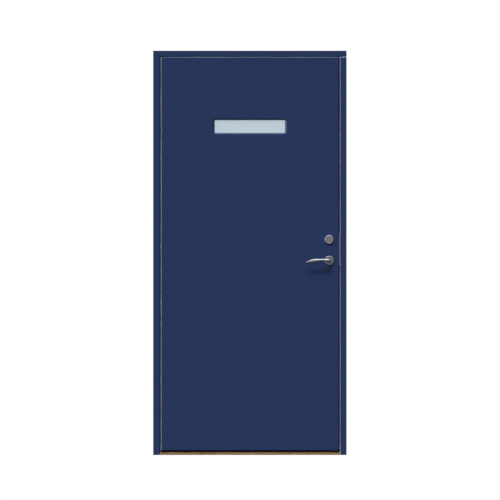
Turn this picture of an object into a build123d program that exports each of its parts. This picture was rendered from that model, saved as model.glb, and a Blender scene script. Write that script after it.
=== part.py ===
from build123d import *
import math
import os

# Exterior door set: an outward-opening flush door with one small glazed light, in its frame.
# Millimetres. Origin: the middle of the threshold's underside, halfway through the frame's depth.
# X runs to the right seen from outside, Y runs into the building, Z runs up.
# The leaf hangs on the left on concealed swan-neck hinges and opens towards -Y.

# Frame
FRAME_W = 995.0
FRAME_H = 2080.0
FRAME_D = 105.0
JAMB_FACE = 34.0
HEAD_FACE = 29.0
STOP = 14.0
ARRIS = 3.0
SMALL_ARRIS = 1.5

# Leaf and the gaps round it
LEAF_T = 60.0
SIDE_GAP = 6.0
TOP_GAP = 3.0
LEAF_BOTTOM = 23.5
STOP_GAP = 5.0
SKIN_T = 1.0
SKIN_RETURN = 15.0
STILE_W = 80.0
RAIL_H = 70.0

# Threshold
SILL_SETBACK = 10.0
SILL_FRONT_H = 14.5
SILL_REBATE_H = 17.0
SILL_UPSTAND_H = 38.0
SILL_CHAMFER = 10.0

# Seals in the rebate
SEAL_GROOVE_W = 3.5
SEAL_GROOVE_D = 6.0
SEAL_BULB_W = 7.0
SEAL_WALL = 1.1
SEAL_CLEAR = 0.4
SEAL_STEM_CLEAR = 0.1

# Light (the glazed opening) in the leaf, its middle given from the frame's top
LIGHT_DOWN = 390.0
SIGHT_W = 363.0
SIGHT_H = 67.0
SIGHT_R = 7.0
REVEAL_SIDE = 8.0
REVEAL_TOP = 6.5
REVEAL_R = 5.0
BEZEL_RIM = 1.5
BEZEL_CLEAR = 0.15
BEZEL_DEPTH = 11.0
BEZEL_LAND = 1.0
BEZEL_FLANGE_W = 10.0
BEZEL_FLANGE_T = 2.5
GASKET_T = 2.0
GASKET_W = 8.0
GASKET_SET = 1.0
PANE_T = 4.0
PANE_CAVITY = 16.0
PANE_COVER = 12.0
PANE_MARGIN = 4.0
SPACER_W = 6.0
SEALANT_W = 3.0
LINER_T = 12.0
BLOCK_L = 60.0
BLOCK_IN = 55.0
INNER_BEZEL_STEP = 12.0
INNER_BEZEL_PROUD = 2.5
INNER_BEZEL_EDGE = 2.0
BEZEL_SCREW_IN = 32.0

# Concealed hinges: one as far from each end of the frame, one halfway
# The pivot is given from the rebate's face and from the front plane
HINGE_END = 280.0
PIVOT_BEHIND_REBATE = 16.5
PIVOT_BEHIND_FRONT = 14.5
EYE_R = 7.2
PIN_R = 3.0
PIN_FIT = 0.05
ARM_H = 76.0
ARM_NECK = 10.0
ARM_HEEL = 5.4
ARM_CROSS_V = 34.0
ARM_PLATE_H = 120.0
ARM_PLATE_T = 3.5
ARM_PLATE_V = (24.0, 54.0)
CUP_WALL = 2.0
CUP_CLEAR = 0.8
CUP_END_CLEAR = 4.0
CUP_MOUTH_V = 46.0
CUP_FLANGE_T = 2.5
CUP_FLANGE_H = 130.0
CUP_FLANGE_V = (4.0, 50.0)

# Fixing sleeves in the jambs, evenly spaced from the lowest to the highest
SLEEVE_LOW = 130.0
SLEEVE_TOP = 150.0
SLEEVE_COUNT = 4
SLEEVE_R = 7.0
SLEEVE_BORE_R = 4.1
SLEEVE_Y = -10.0

# Lock: what is under or by the handle is measured from its spindle, the rest from the cylinder
HANDLE_Z = 1000.0
BACKSET = 49.0
LOCK_CENTRES = 105.0
FOREND_UNDER = 72.5
FOREND_OVER = 57.5
FOREND_W = 22.0
FOREND_T = 3.0
CASE_T = 16.0
CASE_WALL = 1.5
CASE_BACK = 73.5
CASE_UNDER = 60.0
CASE_OVER = 45.0
SLIDE_CLEAR = 0.3
LATCH_RISE = 26.0
LATCH_H = 26.0
LATCH_T = 11.0
LATCH_THROW = 12.0
LATCH_BODY = 23.5
TAIL_BAR = 6.0
SPRING_WIRE = 0.9
SPRING_TURNS = 5
FOLLOWER_R = 10.0
BEARING_STEP = 2.0
HANDLE_TURN = 45.0
LUG_T = 4.0
BOLT_DROP = 23.0
BOLT_H = 28.0
BOLT_T = 12.0
BOLT_THROW = 20.0
BOLT_BODY = 32.5
CRANK_R = 9.0
THUMB_TURN = 90.0
ARM_TIP_R = 3.0
ARM_HALF = 2.2
TIP_CLEAR = 0.4
FORK_CLEAR = 0.8
FORK_WALL = 4.0
SPINDLE_W = 8.0
TURN_SPINDLE_W = 6.0
TAIL_SEAT_D = 4.0
SQUARE_FIT = 0.05
BEARING_FIT = 0.05

# Strike plate in the lock-side jamb
STRIKE_UNDER = 24.0
STRIKE_OVER = 32.0
STRIKE_T = 3.0
STRIKE_BACK_V = 48.0
STRIKE_LIP_GAP = 1.7
STRIKE_LIP_T = 3.0
STRIKE_LIP_SET = 1.0
STRIKE_HOLE_CLEAR = 0.8
STRIKE_MORTISE = 14.0

# Handle, roses and cylinder
ROSE_R = 24.0
ROSE_H = 8.5
ROSE_WALL = 1.6
ROSE_FACE = 2.4
ROSE_EDGE = 2.5
ROSE_BOLT_X = 19.0
ROSE_POST_R = 3.5
ROSE_POST_L = 19.0
NECK_R = 8.5
NECK_OUT = 50.0
NECK_BEND = 16.0
NECK_LIFT = 0.5
RING_W = 44.0
RING_H = 46.5
RING_OUT = 11.0
RING_EDGE = 3.2
RING_LIFT = 3.3
OVAL_W = 31.0
OVAL_H = 35.0
OVAL_SET = 1.5
PLUG_R = 7.0
PLUG_TAIL_W = 6.0
PLUG_TAIL_T = 2.0
KEYWAY_W = 2.2
KEYWAY_H = 9.0
KEYWAY_D = 20.0
KEYWAY_DROP = 0.9
TURN_ROSE_OUT = 7.0
TURN_LIFT = 1.0
TURN_COLLAR = 3.0
TURN_L = 34.0
TURN_T = 11.0
TURN_OUT = 22.0
HOLE_CLEAR = 0.5

# Sections of the lever's blade: half height, half depth, rise and how far back they lie
# The root follows the bend, and each of the others has its reach from the spindle first
BEND_WAIST = 0.9
ROOT_REACH = 2.0
ROOT_SECTION = (7.4, 6.4, 1.2, 0.0)
BLADE_SECTIONS = (
    (40.0, 6.1, 5.4, 2.4, -0.4),
    (62.0, 8.9, 4.6, -0.6, 0.2),
    (84.0, 10.0, 4.0, -3.3, 1.9),
    (106.0, 6.0, 3.1, -6.5, 4.6),
    (122.0, 0.9, 0.9, -10.3, 7.4),
)

# Screws: head radius, shank radius, head height, length
WOOD_SCREW = (4.2, 2.1, 2.2, 32.0)
PLATE_SCREW = (4.0, 2.0, 2.0, 24.0)
FRAME_SCREW = (5.0, 2.6, 3.0, 85.0)
BEZEL_SCREW = (3.2, 1.6, 1.8, 18.0)
ROSE_BOLT = (4.0, 2.0, 2.2, 56.0)

# Places that follow from the sizes above
HALF_W = FRAME_W / 2
FRONT_Y = -FRAME_D / 2
BACK_Y = FRAME_D / 2
REBATE_X = HALF_W - JAMB_FACE
STOP_X = REBATE_X - STOP
LEAF_X = REBATE_X - SIDE_GAP
HEAD_Z = FRAME_H - HEAD_FACE
LEAF_TOP = HEAD_Z - TOP_GAP
LEAF_BACK_Y = FRONT_Y + LEAF_T
STOP_Y = LEAF_BACK_Y + STOP_GAP
MID_Y = FRONT_Y + LEAF_T / 2
HANDLE_X = LEAF_X - BACKSET
CYLINDER_Z = HANDLE_Z + LOCK_CENTRES
LATCH_Z = HANDLE_Z + LATCH_RISE
BOLT_Z = CYLINDER_Z - BOLT_DROP
CASE_Z = (HANDLE_Z - CASE_UNDER, CYLINDER_Z + CASE_OVER)
FOREND_Z = (HANDLE_Z - FOREND_UNDER, CYLINDER_Z + FOREND_OVER)
STRIKE_Z = (HANDLE_Z - STRIKE_UNDER, CYLINDER_Z + STRIKE_OVER)
LIGHT_Z = FRAME_H - LIGHT_DOWN
RECESS_W = SIGHT_W + 2 * REVEAL_SIDE
RECESS_H = SIGHT_H + 2 * REVEAL_TOP
RECESS_R = SIGHT_R + REVEAL_R
PIVOT_X = -REBATE_X - PIVOT_BEHIND_REBATE
PIVOT_Y = FRONT_Y + PIVOT_BEHIND_FRONT
FOLLOWER_ARM = LATCH_THROW / (2 * math.sin(math.radians(HANDLE_TURN / 2)))
CRANK_ARM = BOLT_THROW / (2 * math.sin(math.radians(THUMB_TURN / 2)))
HINGE_ZS = [HINGE_END, FRAME_H / 2, FRAME_H - HINGE_END]
HINGE_NAMES = ["lower", "middle", "upper"]
SLEEVE_PITCH = (FRAME_H - SLEEVE_LOW - SLEEVE_TOP) / (SLEEVE_COUNT - 1)
SLEEVE_ZS = [SLEEVE_LOW + i * SLEEVE_PITCH for i in range(SLEEVE_COUNT)]
SEAL_Z0 = SILL_REBATE_H + SEAL_CLEAR
SEAL_Z1 = LEAF_TOP - SEAL_CLEAR


def block(x0, x1, y0, y1, z0, z1):
    """A box between two limits along each axis."""
    return Pos((x0 + x1) / 2, (y0 + y1) / 2, (z0 + z1) / 2) * Box(x1 - x0, y1 - y0, z1 - z0)


def along_x(sketch, y, z, x0, x1):
    """Extrudes a sketch drawn in Y and Z from x0 to x1."""
    plane = Plane(origin=(x0, y, z), x_dir=(0, 1, 0), z_dir=(1, 0, 0))
    return extrude(plane * sketch, amount=x1 - x0)


def along_y(sketch, x, z, y0, y1):
    """Extrudes a sketch drawn in X and Z, seen from outside, from y0 to y1."""
    plane = Plane(origin=(x, y1, z), x_dir=(1, 0, 0), z_dir=(0, -1, 0))
    return extrude(plane * sketch, amount=y1 - y0)


def along_z(sketch, x, y, z0, z1):
    """Extrudes a sketch drawn in X and Y from z0 to z1."""
    return extrude(Pos(x, y, z0) * sketch, amount=z1 - z0)


def outline(*points):
    """A closed face through the points."""
    return make_face(Polyline(*points, close=True))


def round_corner(sketch, point, radius):
    """Rounds the corner of a sketch that lies nearest to a point."""
    corner = sketch.vertices().sort_by_distance(Vector(*point))[0]
    return fillet(corner, radius)


def rod(radius, x, z, y0, y1):
    """A round bar or bore along Y."""
    return along_y(Circle(radius), x, z, y0, y1)


def screw(point, direction, size):
    """A countersunk screw with the top of its head at a point."""
    head_r, shank_r, head_h, length = size
    base = (Align.CENTER, Align.CENTER, Align.MIN)
    shank = Cylinder(shank_r, length, align=base)
    head = Cone(head_r, shank_r, head_h, align=base)
    return Plane(origin=point, z_dir=direction) * (shank + head)


def group(solids):
    """Separate solids that share one node."""
    return Compound(children=list(solids))


def cut(solid, *tools):
    """Takes each tool away from a solid."""
    for tool in tools:
        solid = solid - tool
    return solid


def stadium(width, height):
    """An upright oval with straight sides."""
    return SlotOverall(height, width, rotation=90)


# Frame members

def rebate_profile(face, gap, arris):
    """Section of a frame member: X from its outer edge inwards, Y through the wall."""
    reach = face + STOP
    section = outline(
        (0, FRONT_Y), (face, FRONT_Y), (face, STOP_Y), (reach, STOP_Y), (reach, BACK_Y), (0, BACK_Y)
    )
    section = round_corner(section, (face, FRONT_Y), arris)
    section = round_corner(section, (reach, BACK_Y), ARRIS)
    section = round_corner(section, (reach, STOP_Y), SMALL_ARRIS)
    section = round_corner(section, (0, FRONT_Y), SMALL_ARRIS)
    seal_at = seal_offset(face, gap)
    groove = Pos(seal_at, STOP_Y + SEAL_GROOVE_D / 2) * Rectangle(SEAL_GROOVE_W, SEAL_GROOVE_D)
    return section - groove


def seal_offset(face, gap):
    """The seal lies halfway between the leaf's edge and the stop's edge."""
    return face + (gap + STOP) / 2


def make_jambs():
    """Both jambs as plain sections, bevelled at their tops, before anything is let into them."""
    hinge_jamb = along_z(rebate_profile(JAMB_FACE, SIDE_GAP, ARRIS), -HALF_W, 0, 0, LEAF_TOP)
    bevel = outline(
        (FRONT_Y, LEAF_TOP - SMALL_ARRIS), (FRONT_Y + SMALL_ARRIS, LEAF_TOP), (FRONT_Y, LEAF_TOP)
    )
    hinge_jamb -= along_x(bevel, 0, 0, -HALF_W, -REBATE_X)
    lock_jamb = mirror(hinge_jamb, about=Plane.YZ)
    return hinge_jamb, lock_jamb


def make_head():
    """The head runs over both jambs: its ends reach down to them, and its stop ends between theirs."""
    plane = Plane(origin=(-REBATE_X, 0, FRAME_H), x_dir=(0, 0, -1), z_dir=(1, 0, 0))
    head = extrude(plane * rebate_profile(HEAD_FACE, TOP_GAP, SMALL_ARRIS), amount=2 * REBATE_X)
    end = outline((FRONT_Y, LEAF_TOP), (FRONT_Y, FRAME_H), (BACK_Y, FRAME_H), (BACK_Y, LEAF_TOP))
    end = round_corner(end, (FRONT_Y, FRAME_H), SMALL_ARRIS)
    for side in (-1, 1):
        over_jamb = sorted((side * REBATE_X, side * HALF_W))
        over_stop = sorted((side * STOP_X, side * REBATE_X))
        head -= block(*over_stop, STOP_Y, BACK_Y, HEAD_Z - STOP, LEAF_TOP)
        head += along_x(end, 0, 0, *over_jamb)
    return head


def make_threshold():
    """A hardwood sill with a sloping tread, a nose under the leaf and an upstand behind it."""
    nose_y = FRONT_Y + SILL_SETBACK
    section = outline(
        (nose_y, 0), (nose_y, SILL_FRONT_H), (STOP_Y, SILL_REBATE_H),
        (STOP_Y, SILL_UPSTAND_H), (BACK_Y - SILL_CHAMFER, SILL_UPSTAND_H),
        (BACK_Y, SILL_UPSTAND_H - SILL_CHAMFER), (BACK_Y, 0)
    )
    section = round_corner(section, (nose_y, SILL_FRONT_H), ARRIS)
    section = round_corner(section, (STOP_Y, SILL_UPSTAND_H), SMALL_ARRIS)
    groove_at = (STOP_Y + SEAL_GROOVE_D / 2, sill_seal_z())
    section -= Pos(*groove_at) * Rectangle(SEAL_GROOVE_D, SEAL_GROOVE_W)
    sill = along_x(section, 0, 0, -REBATE_X, REBATE_X)
    for side in (-1, 1):
        x0, x1 = sorted((side * STOP_X, side * REBATE_X))
        sill -= block(x0, x1, STOP_Y, BACK_Y, 0, SILL_UPSTAND_H)
    return sill


def sill_seal_z():
    """Height of the seal on the threshold, behind the foot of the leaf."""
    return (LEAF_BOTTOM + SILL_UPSTAND_H) / 2


def seal_profile():
    """A hollow bulb on a stem: X across the seal, Y from the leaf towards the stop."""
    reach = STOP_GAP - SEAL_CLEAR
    bulb = Ellipse(SEAL_BULB_W / 2, reach) - Ellipse(SEAL_BULB_W / 2 - SEAL_WALL, reach - SEAL_WALL)
    bulb &= Pos(0, -reach / 2) * Rectangle(SEAL_BULB_W, reach)
    foot = Pos(0, -SEAL_WALL / 2) * Rectangle(SEAL_BULB_W, SEAL_WALL)
    stem_w = SEAL_GROOVE_W - SEAL_STEM_CLEAR
    stem_d = SEAL_GROOVE_D - SEAL_STEM_CLEAR
    stem = Pos(0, stem_d / 2) * Rectangle(stem_w, stem_d)
    return bulb + foot + stem


def make_seals():
    """Four seals in the rebate: two upright ones, and one at each end between them."""
    side_x = HALF_W - seal_offset(JAMB_FACE, SIDE_GAP)
    head_z = FRAME_H - seal_offset(HEAD_FACE, TOP_GAP)
    profile = seal_profile()
    upright = along_z(profile, side_x, STOP_Y, SEAL_Z0, SEAL_Z1)
    cross = {}
    for name, z in (("head_seal", head_z), ("threshold_seal", sill_seal_z())):
        plane = Plane(origin=(-STOP_X, STOP_Y, z), x_dir=(0, 0, -1), z_dir=(1, 0, 0))
        cross[name] = extrude(plane * profile, amount=2 * STOP_X)
    return {
        "lock_side_seal": upright,
        "hinge_side_seal": mirror(upright, about=Plane.YZ),
        **cross,
    }


# Hinges: u runs from the rebate's face towards the leaf, v from the front plane into the wall

def hinge_xy(u, v):
    """A point of the hinge's plan in the part's X and Y."""
    return (-REBATE_X + u, FRONT_Y + v)


def hinge_block(u, v, half_height, z):
    """A box given by its limits in u and v and by its half height about z."""
    x0, y0 = hinge_xy(u[0], v[0])
    x1, y1 = hinge_xy(u[1], v[1])
    return block(x0, x1, y0, y1, z - half_height, z + half_height)


def hinge_rod(radius, half_height, z):
    """A round bar or bore about the hinge's pivot."""
    return along_z(Circle(radius), PIVOT_X, PIVOT_Y, z - half_height, z + half_height)


def cup_half_height():
    """Half the clear height inside a hinge cup."""
    return ARM_H / 2 + CUP_END_CLEAR


def make_hinge_arm(z):
    """A cast swan neck: an eye round the pin, a hooked arm and a plate let into the leaf's edge."""
    eye_u = -PIVOT_BEHIND_REBATE
    eye_v = PIVOT_BEHIND_FRONT
    left = eye_u - EYE_R
    cross_top = ARM_CROSS_V + ARM_NECK
    shoulder = ARM_NECK / 2
    heel_u = eye_u + ARM_HEEL
    points = [
        (left, eye_v), (left, cross_top), (SIDE_GAP, cross_top),
        (SIDE_GAP, ARM_CROSS_V), (heel_u, ARM_CROSS_V), (eye_u + EYE_R, eye_v)
    ]
    section = outline(*[hinge_xy(u, v) for u, v in points])
    section = round_corner(section, hinge_xy(left, cross_top), shoulder)
    section = round_corner(section, hinge_xy(heel_u, ARM_CROSS_V), shoulder / 2)
    arm = along_z(section, 0, 0, z - ARM_H / 2, z + ARM_H / 2) + hinge_rod(EYE_R, ARM_H / 2, z)
    plate_u = (SIDE_GAP, SIDE_GAP + ARM_PLATE_T)
    arm += hinge_block(plate_u, ARM_PLATE_V, ARM_PLATE_H / 2, z)
    return arm - hinge_rod(PIN_R + PIN_FIT, ARM_H / 2, z)


def cup_inside():
    """The cup's clear space: its limits in u and in v."""
    back = -PIVOT_BEHIND_REBATE - EYE_R - CUP_CLEAR
    front = PIVOT_BEHIND_FRONT - EYE_R - CUP_CLEAR / 2
    return (back, 0), (front, CUP_MOUTH_V)


def cup_body(z):
    """The space that a hinge cup fills in the jamb, flange and all."""
    (back, _), (front, mouth) = cup_inside()
    shell = hinge_block(
        (back - CUP_WALL, 0), (front - CUP_WALL, mouth + CUP_WALL), cup_half_height() + CUP_WALL, z
    )
    flange = hinge_block((-CUP_FLANGE_T, 0), CUP_FLANGE_V, CUP_FLANGE_H / 2, z)
    return shell + flange


def make_hinge_cup(z):
    """A pressed cup let into the jamb, open towards the leaf, with the pin's seats in its ends."""
    inside_u, inside_v = cup_inside()
    cup = cup_body(z) - hinge_block(inside_u, inside_v, cup_half_height(), z)
    return cup - hinge_rod(PIN_R, cup_half_height() + CUP_WALL, z)


def hinge_screw_places(plate_h, seat_h, v_limits):
    """Four screw places in the ends of a hinge's plate, as v and height above its middle."""
    height = (plate_h / 2 + seat_h) / 2
    quarter = (v_limits[1] - v_limits[0]) / 4
    across = (v_limits[0] + quarter, v_limits[1] - quarter)
    return [(v, dz) for v in across for dz in (-height, height)]


def make_cup_screws(z):
    """The screws that hold one cup in the jamb."""
    seat = cup_half_height() + CUP_WALL
    places = hinge_screw_places(CUP_FLANGE_H, seat, CUP_FLANGE_V)
    return [screw((*hinge_xy(0, v), z + dz), (-1, 0, 0), PLATE_SCREW) for v, dz in places]


def make_arm_screws(z):
    """The screws that hold one arm's plate in the leaf's edge."""
    places = hinge_screw_places(ARM_PLATE_H, ARM_H / 2, ARM_PLATE_V)
    return [screw((*hinge_xy(SIDE_GAP, v), z + dz), (1, 0, 0), WOOD_SCREW) for v, dz in places]


# Fixings of the frame

def make_sleeves(side):
    """Threaded fixing sleeves through a jamb, one above the other."""
    sleeves = []
    for z in SLEEVE_ZS:
        ring = Circle(SLEEVE_R) - Circle(SLEEVE_BORE_R)
        x0, x1 = sorted((side * REBATE_X, side * HALF_W))
        sleeves.append(along_x(ring, SLEEVE_Y, z, x0, x1))
    return sleeves


def make_corner_screws():
    """Screws down through the head into the jambs, and through the jambs into the threshold."""
    screws = []
    for side in (-1, 1):
        for y in (FRONT_Y + FRAME_D / 4, BACK_Y - FRAME_D / 4):
            top = (side * (HALF_W - JAMB_FACE / 2), y, FRAME_H)
            foot = (side * HALF_W, y, SILL_FRONT_H / 2)
            screws.append(screw(top, (0, 0, -1), FRAME_SCREW))
            screws.append(screw(foot, (-side, 0, 0), FRAME_SCREW))
    return screws


# Strike plate

def strike_holes(x0, x1):
    """The spaces for the latch and the deadbolt, as boxes between two X limits."""
    latch = (LATCH_T / 2 + STRIKE_HOLE_CLEAR, LATCH_Z, LATCH_H / 2 + STRIKE_HOLE_CLEAR)
    bolt = (BOLT_T / 2 + STRIKE_HOLE_CLEAR, BOLT_Z, BOLT_H / 2 + STRIKE_HOLE_CLEAR)
    return [
        block(x0, x1, MID_Y - half_t, MID_Y + half_t, z - half_h, z + half_h)
        for half_t, z, half_h in (latch, bolt)
    ]


def make_strike():
    """A plate let into the jamb, with a lip that guides the latch round the jamb's front corner."""
    back = REBATE_X + STRIKE_T
    lip_front = FRONT_Y + STRIKE_LIP_SET
    lip_back = lip_front + STRIKE_LIP_T
    plate = block(REBATE_X, back, lip_front, FRONT_Y + STRIKE_BACK_V, *STRIKE_Z)
    lip = block(LEAF_X + STRIKE_LIP_GAP, back, lip_front, lip_back, *STRIKE_Z)
    nose = lip.edges().filter_by(Axis.Z).sort_by(Axis.X)[:2].sort_by(Axis.Y)[0]
    return cut(plate + fillet(nose, STRIKE_LIP_T / 2), *strike_holes(REBATE_X, back))


def make_strike_screws():
    """Screws above, between and below the two holes."""
    between = (LATCH_Z + LATCH_H / 2 + BOLT_Z - BOLT_H / 2) / 2
    low = (STRIKE_Z[0] + LATCH_Z - LATCH_H / 2) / 2
    high = (STRIKE_Z[1] + BOLT_Z + BOLT_H / 2) / 2
    return [screw((REBATE_X, MID_Y, z), (1, 0, 0), PLATE_SCREW) for z in (low, between, high)]


def strike_pocket():
    """What is cut from the jamb: the plate's seat, a notch for its lip and two mortises."""
    back = REBATE_X + STRIKE_T
    seat = block(REBATE_X, back, FRONT_Y, FRONT_Y + STRIKE_BACK_V, *STRIKE_Z)
    return [seat, *strike_holes(back, back + STRIKE_MORTISE)]


# Leaf

def leaf_block(inset):
    """The leaf's outer form, or the same form set inwards by the thickness of a skin."""
    form = block(
        -LEAF_X + inset, LEAF_X - inset, FRONT_Y + inset, LEAF_BACK_Y - inset,
        LEAF_BOTTOM + inset, LEAF_TOP - inset
    )
    edges = form.edges().filter_by(Axis.Y, reverse=True)
    return fillet(edges, ARRIS - inset)


def make_skins_and_core():
    """Two folded sheet skins, and the form inside them that reaches the edge between them."""
    shell = leaf_block(0)
    inside = leaf_block(SKIN_T)
    sheet = shell - inside
    front_edge = FRONT_Y + SKIN_RETURN
    back_edge = LEAF_BACK_Y - SKIN_RETURN
    outer = sheet & block(-HALF_W, HALF_W, FRONT_Y, front_edge, 0, FRAME_H)
    inner = sheet & block(-HALF_W, HALF_W, back_edge, LEAF_BACK_Y, 0, FRAME_H)
    tongue = block(-LEAF_X, LEAF_X, front_edge, back_edge, LEAF_BOTTOM, LEAF_TOP)
    return outer, inner, inside + tongue


def split_core(core):
    """Stiles at the sides, rails between them, and foam in the middle."""
    stile_x = LEAF_X - STILE_W
    low = LEAF_BOTTOM + RAIL_H
    high = LEAF_TOP - RAIL_H
    spans = {
        "hinge_stile": (-HALF_W, -stile_x, 0, FRAME_H),
        "lock_stile": (stile_x, HALF_W, 0, FRAME_H),
        "bottom_rail": (-stile_x, stile_x, 0, low),
        "insulation_core": (-stile_x, stile_x, low, high),
        "top_rail": (-stile_x, stile_x, high, FRAME_H),
    }
    return {
        name: core & block(x0, x1, FRONT_Y, LEAF_BACK_Y, z0, z1)
        for name, (x0, x1, z0, z1) in spans.items()
    }


def light_form(width, height, radius, y0, y1):
    """A rounded rectangle about the middle of the light, between two Y limits."""
    return along_y(RectangleRounded(width, height, radius), 0, LIGHT_Z, y0, y1)


def light_taper(front, back):
    """A lofted opening between two rounded rectangles, each (width, height, radius, y)."""
    faces = []
    for width, height, radius, y in (front, back):
        plane = Plane(origin=(0, y, LIGHT_Z), x_dir=(1, 0, 0), z_dir=(0, -1, 0))
        faces.append(plane * RectangleRounded(width, height, radius))
    return loft(faces)


def make_light():
    """The liner, both bezels, both gaskets and the sealed double pane, from the outside in."""
    rim_w = RECESS_W + 2 * BEZEL_RIM
    rim_h = RECESS_H + 2 * BEZEL_RIM
    rim_r = RECESS_R + BEZEL_RIM
    pane_w = SIGHT_W + 2 * PANE_COVER
    pane_h = SIGHT_H + 2 * PANE_COVER
    room_w = pane_w + 2 * PANE_MARGIN
    room_h = pane_h + 2 * PANE_MARGIN
    flange_w = rim_w + 2 * BEZEL_FLANGE_W
    flange_h = rim_h + 2 * BEZEL_FLANGE_W
    flange_r = rim_r + BEZEL_FLANGE_W
    skin_back = FRONT_Y + SKIN_T
    bezel_back = FRONT_Y + BEZEL_DEPTH
    pane_1 = bezel_back + GASKET_T
    cavity = pane_1 + PANE_T
    pane_2 = cavity + PANE_CAVITY
    glass_back = pane_2 + PANE_T
    gasket_back = glass_back + GASKET_T
    inner_face = LEAF_BACK_Y + INNER_BEZEL_PROUD
    flange_back = skin_back + BEZEL_FLANGE_T
    land = bezel_back - BEZEL_LAND

    bezel = light_form(rim_w, rim_h, rim_r, FRONT_Y, bezel_back)
    bezel += light_form(flange_w, flange_h, flange_r, skin_back, flange_back)
    bezel -= light_taper(
        (RECESS_W, RECESS_H, RECESS_R, FRONT_Y), (SIGHT_W, SIGHT_H, SIGHT_R, land)
    )
    bezel -= light_form(SIGHT_W, SIGHT_H, SIGHT_R, land, bezel_back)

    def ring(width, height, wall, y0, y1):
        """A ring with square corners, measured over its outside."""
        frame = Rectangle(width, height) - Rectangle(width - 2 * wall, height - 2 * wall)
        return along_y(frame, 0, LIGHT_Z, y0, y1)

    def gasket(y0, y1):
        """A flat ring that starts just outside the sight line."""
        outside, hole = (
            RectangleRounded(SIGHT_W + 2 * grow, SIGHT_H + 2 * grow, SIGHT_R + grow)
            for grow in (GASKET_W, GASKET_SET)
        )
        return along_y(outside - hole, 0, LIGHT_Z, y0, y1)

    pane = Rectangle(pane_w, pane_h)
    spacer_w = pane_w - 2 * SEALANT_W
    spacer_h = pane_h - 2 * SEALANT_W
    liner = ring(room_w + 2 * LINER_T, room_h + 2 * LINER_T, LINER_T, skin_back, LEAF_BACK_Y - SKIN_T)
    liner -= light_form(
        flange_w + 2 * BEZEL_CLEAR, flange_h + 2 * BEZEL_CLEAR, flange_r, skin_back, flange_back
    )
    open_w = SIGHT_W + 2 * INNER_BEZEL_STEP
    open_h = SIGHT_H + 2 * INNER_BEZEL_STEP
    cover_w = room_w + 2 * INNER_BEZEL_STEP
    cover_h = room_h + 2 * INNER_BEZEL_STEP
    inner_bezel = along_y(
        Rectangle(room_w - 2 * BEZEL_CLEAR, room_h - 2 * BEZEL_CLEAR), 0, LIGHT_Z, gasket_back, LEAF_BACK_Y
    )
    inner_bezel += light_form(cover_w, cover_h, INNER_BEZEL_STEP, LEAF_BACK_Y, inner_face)
    rim = inner_bezel.faces().sort_by(Axis.Y)[-1].outer_wire().edges()
    inner_bezel = fillet(rim, INNER_BEZEL_EDGE)
    inner_bezel -= light_taper(
        (SIGHT_W, SIGHT_H, SIGHT_R, gasket_back),
        (open_w, open_h, SIGHT_R + INNER_BEZEL_STEP, inner_face)
    )

    screws = []
    screw_x = room_w / 2 - BEZEL_SCREW_IN
    screw_up = (room_h + INNER_BEZEL_STEP) / 2
    for z in (LIGHT_Z - screw_up, LIGHT_Z + screw_up):
        for x in (-screw_x, 0, screw_x):
            screws.append(screw((x, inner_face, z), (0, -1, 0), BEZEL_SCREW))

    block_x = pane_w / 2 - BLOCK_IN
    room_bottom = LIGHT_Z - room_h / 2
    blocks = [
        block(
            x - BLOCK_L / 2, x + BLOCK_L / 2, pane_1, glass_back, room_bottom, room_bottom + PANE_MARGIN
        )
        for x in (-block_x, block_x)
    ]
    pieces = {
        "outer_bezel": bezel,
        "inner_bezel": cut(inner_bezel, *screws),
        "outer_pane": along_y(pane, 0, LIGHT_Z, pane_1, cavity),
        "inner_pane": along_y(pane, 0, LIGHT_Z, pane_2, glass_back),
        "edge_sealant": ring(pane_w, pane_h, SEALANT_W, cavity, pane_2),
        "pane_spacer": ring(spacer_w, spacer_h, SPACER_W, cavity, pane_2),
        "outer_glazing_gasket": gasket(bezel_back, pane_1),
        "inner_glazing_gasket": gasket(glass_back, gasket_back),
        "window_liner": cut(liner, *screws),
        "setting_blocks": group(blocks),
        "bezel_screws": group(screws),
    }
    holes = {
        "outer_skin": [
            light_form(
                rim_w + 2 * BEZEL_CLEAR, rim_h + 2 * BEZEL_CLEAR, rim_r + BEZEL_CLEAR, FRONT_Y, skin_back
            )
        ],
        "inner_skin": [
            along_y(Rectangle(room_w, room_h), 0, LIGHT_Z, LEAF_BACK_Y - SKIN_T, LEAF_BACK_Y), *screws
        ],
        "insulation_core": [
            along_y(
                Rectangle(room_w + 2 * LINER_T, room_h + 2 * LINER_T), 0, LIGHT_Z, FRONT_Y, LEAF_BACK_Y
            )
        ],
    }
    return pieces, holes


# Lock

def case_x():
    """The case reaches from behind the forend into the stile."""
    return LEAF_X - CASE_BACK, LEAF_X - FOREND_T


def case_y():
    """The case's faces, front and back."""
    return MID_Y - CASE_T / 2, MID_Y + CASE_T / 2


def cam_arm(length, angle):
    """A cam's arm: a round tip on a straight shank, turned from straight up by an angle."""
    shank = Pos(0, length / 2) * Rectangle(2 * ARM_HALF, length)
    tip = Pos(0, length) * Circle(ARM_TIP_R)
    return Rot(0, 0, angle) * (shank + tip)


def make_follower():
    """The cam that the handle's spindle turns: a hub, two bearings and an arm that draws the latch."""
    y0, y1 = case_y()
    wide = (y0 + CASE_WALL + SLIDE_CLEAR, y1 - CASE_WALL - SLIDE_CLEAR)
    arm = cam_arm(FOLLOWER_ARM, -HANDLE_TURN / 2)
    hub = along_y(Circle(FOLLOWER_R) + arm, HANDLE_X, HANDLE_Z, *wide)
    hub += rod(FOLLOWER_R - BEARING_STEP, HANDLE_X, HANDLE_Z, y0, y1)
    square = Rectangle(SPINDLE_W + 2 * SQUARE_FIT, SPINDLE_W + 2 * SQUARE_FIT)
    return hub - along_y(square, HANDLE_X, HANDLE_Z, y0, y1)


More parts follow.
